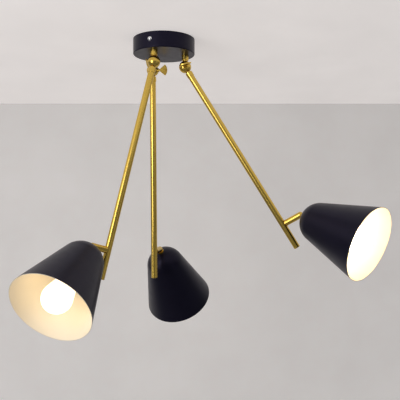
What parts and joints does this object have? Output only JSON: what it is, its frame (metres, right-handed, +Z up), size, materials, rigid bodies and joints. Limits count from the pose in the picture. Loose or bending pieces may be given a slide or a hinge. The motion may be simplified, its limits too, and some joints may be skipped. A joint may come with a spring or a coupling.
{
  "type": "ceiling light",
  "caption": "Ceiling light with a round black canopy and brass arms, each on a ball knuckle with a wing screw, ending in a tilting black flared shade with a bulb.",
  "frame": {"origin": "centre of the canopy's rim, on the ceiling", "axes": "+Z up, square to the ceiling; +X to the right arm's side and -Y to the front arm's side"},
  "size_m": [0.6515, 0.5196, 0.5771],
  "materials": {
    "black_paint": "satin black",
    "brass": "polished",
    "zinc_steel": "zinc plated",
    "chrome": "polished",
    "fibre": "matte",
    "cream_plastic": "matte",
    "opal_glass": "opal"
  },
  "bodies": {
    "base": {"canopy": "black_paint", "mounting_bracket": "zinc_steel", "side_screws": "chrome", "terminal_block": "cream_plastic", "clamp_screws": "brass", "bracket_screws": "zinc_steel"},
    "front_hanger": {"front_hanger_nipple": "brass", "front_locknut": "zinc_steel", "front_lock_washer": "zinc_steel", "front_upper_knuckle": "brass", "front_friction_washer": "fibre"},
    "front_knuckle": {"front_lower_knuckle": "brass"},
    "front_wing": {"front_wing_screw": "brass"},
    "front_arm": {"front_rod": "brass", "front_rod_cap": "brass"},
    "front_head": {"front_stem": "brass", "front_stem_clip": "zinc_steel", "front_shade_nipple": "zinc_steel", "front_shade_seat": "brass", "front_shade": "black_paint", "front_holder_cap": "cream_plastic", "front_holder_body": "cream_plastic", "front_bulb_cap": "zinc_steel", "front_bulb_globe": "opal_glass"},
    "rear_hanger": {"rear_hanger_nipple": "brass", "rear_locknut": "zinc_steel", "rear_lock_washer": "zinc_steel", "rear_upper_knuckle": "brass", "rear_friction_washer": "fibre"},
    "rear_knuckle": {"rear_lower_knuckle": "brass"},
    "rear_wing": {"rear_wing_screw": "brass"},
    "rear_arm": {"rear_rod": "brass", "rear_rod_cap": "brass"},
    "rear_head": {"rear_stem": "brass", "rear_stem_clip": "zinc_steel", "rear_shade_nipple": "zinc_steel", "rear_shade_seat": "brass", "rear_shade": "black_paint", "rear_holder_cap": "cream_plastic", "rear_holder_body": "cream_plastic", "rear_bulb_cap": "zinc_steel", "rear_bulb_globe": "opal_glass"},
    "right_hanger": {"right_hanger_nipple": "brass", "right_locknut": "zinc_steel", "right_lock_washer": "zinc_steel", "right_upper_knuckle": "brass", "right_friction_washer": "fibre"},
    "right_knuckle": {"right_lower_knuckle": "brass"},
    "right_wing": {"right_wing_screw": "brass"},
    "right_arm": {"right_rod": "brass", "right_rod_cap": "brass"},
    "right_head": {"right_stem": "brass", "right_stem_clip": "zinc_steel", "right_shade_nipple": "zinc_steel", "right_shade_seat": "brass", "right_shade": "black_paint", "right_holder_cap": "cream_plastic", "right_holder_body": "cream_plastic", "right_bulb_cap": "zinc_steel", "right_bulb_globe": "opal_glass"}
  },
  "joints": [
    {"name": "front_swivel", "type": "hinge", "parent": "base", "child": "front_hanger", "pos_m": [-0.01648, -0.03809, -0.0525], "axis": [0, 0, 1], "range_deg": [-45, 45]},
    {"name": "front_tilt", "type": "hinge", "parent": "front_hanger", "child": "front_knuckle", "pos_m": [-0.01648, -0.03809, -0.0525], "axis": [-0.503, 0.8643, 0], "range_deg": [-14.5, 70.5]},
    {"name": "front_wing_turn", "type": "hinge", "parent": "front_knuckle", "child": "front_wing", "pos_m": [-0.01648, -0.03809, -0.0525], "axis": [-0.503, 0.8643, 0], "range_deg": [0, 180]},
    {"name": "front_rod_turn", "type": "hinge", "parent": "front_knuckle", "child": "front_arm", "pos_m": [-0.01648, -0.03809, -0.0525], "axis": [-0.2164, -0.1259, -0.9681], "range_deg": [-60, 60]},
    {"name": "front_shade_turn", "type": "hinge", "parent": "front_arm", "child": "front_head", "pos_m": [-0.09536, -0.08399, -0.40539], "axis": [-0.5556, -0.7995, 0.2282], "range_deg": [-112.5, 67.5]},
    {"name": "rear_swivel", "type": "hinge", "parent": "base", "child": "rear_hanger", "pos_m": [-0.02474, 0.03332, -0.0525], "axis": [0, 0, 1], "range_deg": [-45, 45]},
    {"name": "rear_tilt", "type": "hinge", "parent": "rear_hanger", "child": "rear_knuckle", "pos_m": [-0.02474, 0.03332, -0.0525], "axis": [0.9848, -0.1736, 0], "range_deg": [-2.1, 82.9]},
    {"name": "rear_wing_turn", "type": "hinge", "parent": "rear_knuckle", "child": "rear_wing", "pos_m": [-0.02474, 0.03332, -0.0525], "axis": [0.9848, -0.1736, 0], "range_deg": [0, 180]},
    {"name": "rear_rod_turn", "type": "hinge", "parent": "rear_knuckle", "child": "rear_arm", "pos_m": [-0.02474, 0.03332, -0.0525], "axis": [0.0064, 0.0361, -0.9993], "range_deg": [-60, 60]},
    {"name": "rear_shade_turn", "type": "hinge", "parent": "rear_arm", "child": "rear_head", "pos_m": [-0.02242, 0.04647, -0.41675], "axis": [0.2112, 0.9768, 0.0366], "range_deg": [-82.8, 97.2]},
    {"name": "right_swivel", "type": "hinge", "parent": "base", "child": "right_hanger", "pos_m": [0.04122, 0.00477, -0.0525], "axis": [0, 0, 1], "range_deg": [-45, 45]},
    {"name": "right_tilt", "type": "hinge", "parent": "right_hanger", "child": "right_knuckle", "pos_m": [0.04122, 0.00477, -0.0525], "axis": [0.0593, -0.9982, 0], "range_deg": [-32, 53]},
    {"name": "right_wing_turn", "type": "hinge", "parent": "right_knuckle", "child": "right_wing", "pos_m": [0.04122, 0.00477, -0.0525], "axis": [0.0593, -0.9982, 0], "range_deg": [0, 180]},
    {"name": "right_rod_turn", "type": "hinge", "parent": "right_knuckle", "child": "right_arm", "pos_m": [0.04122, 0.00477, -0.0525], "axis": [0.529, 0.0314, -0.848], "range_deg": [-60, 60]},
    {"name": "right_shade_turn", "type": "hinge", "parent": "right_arm", "child": "right_head", "pos_m": [0.23404, 0.01622, -0.36161], "axis": [0.7812, -0.4084, 0.4722], "range_deg": [-55, 125]}
  ]
}
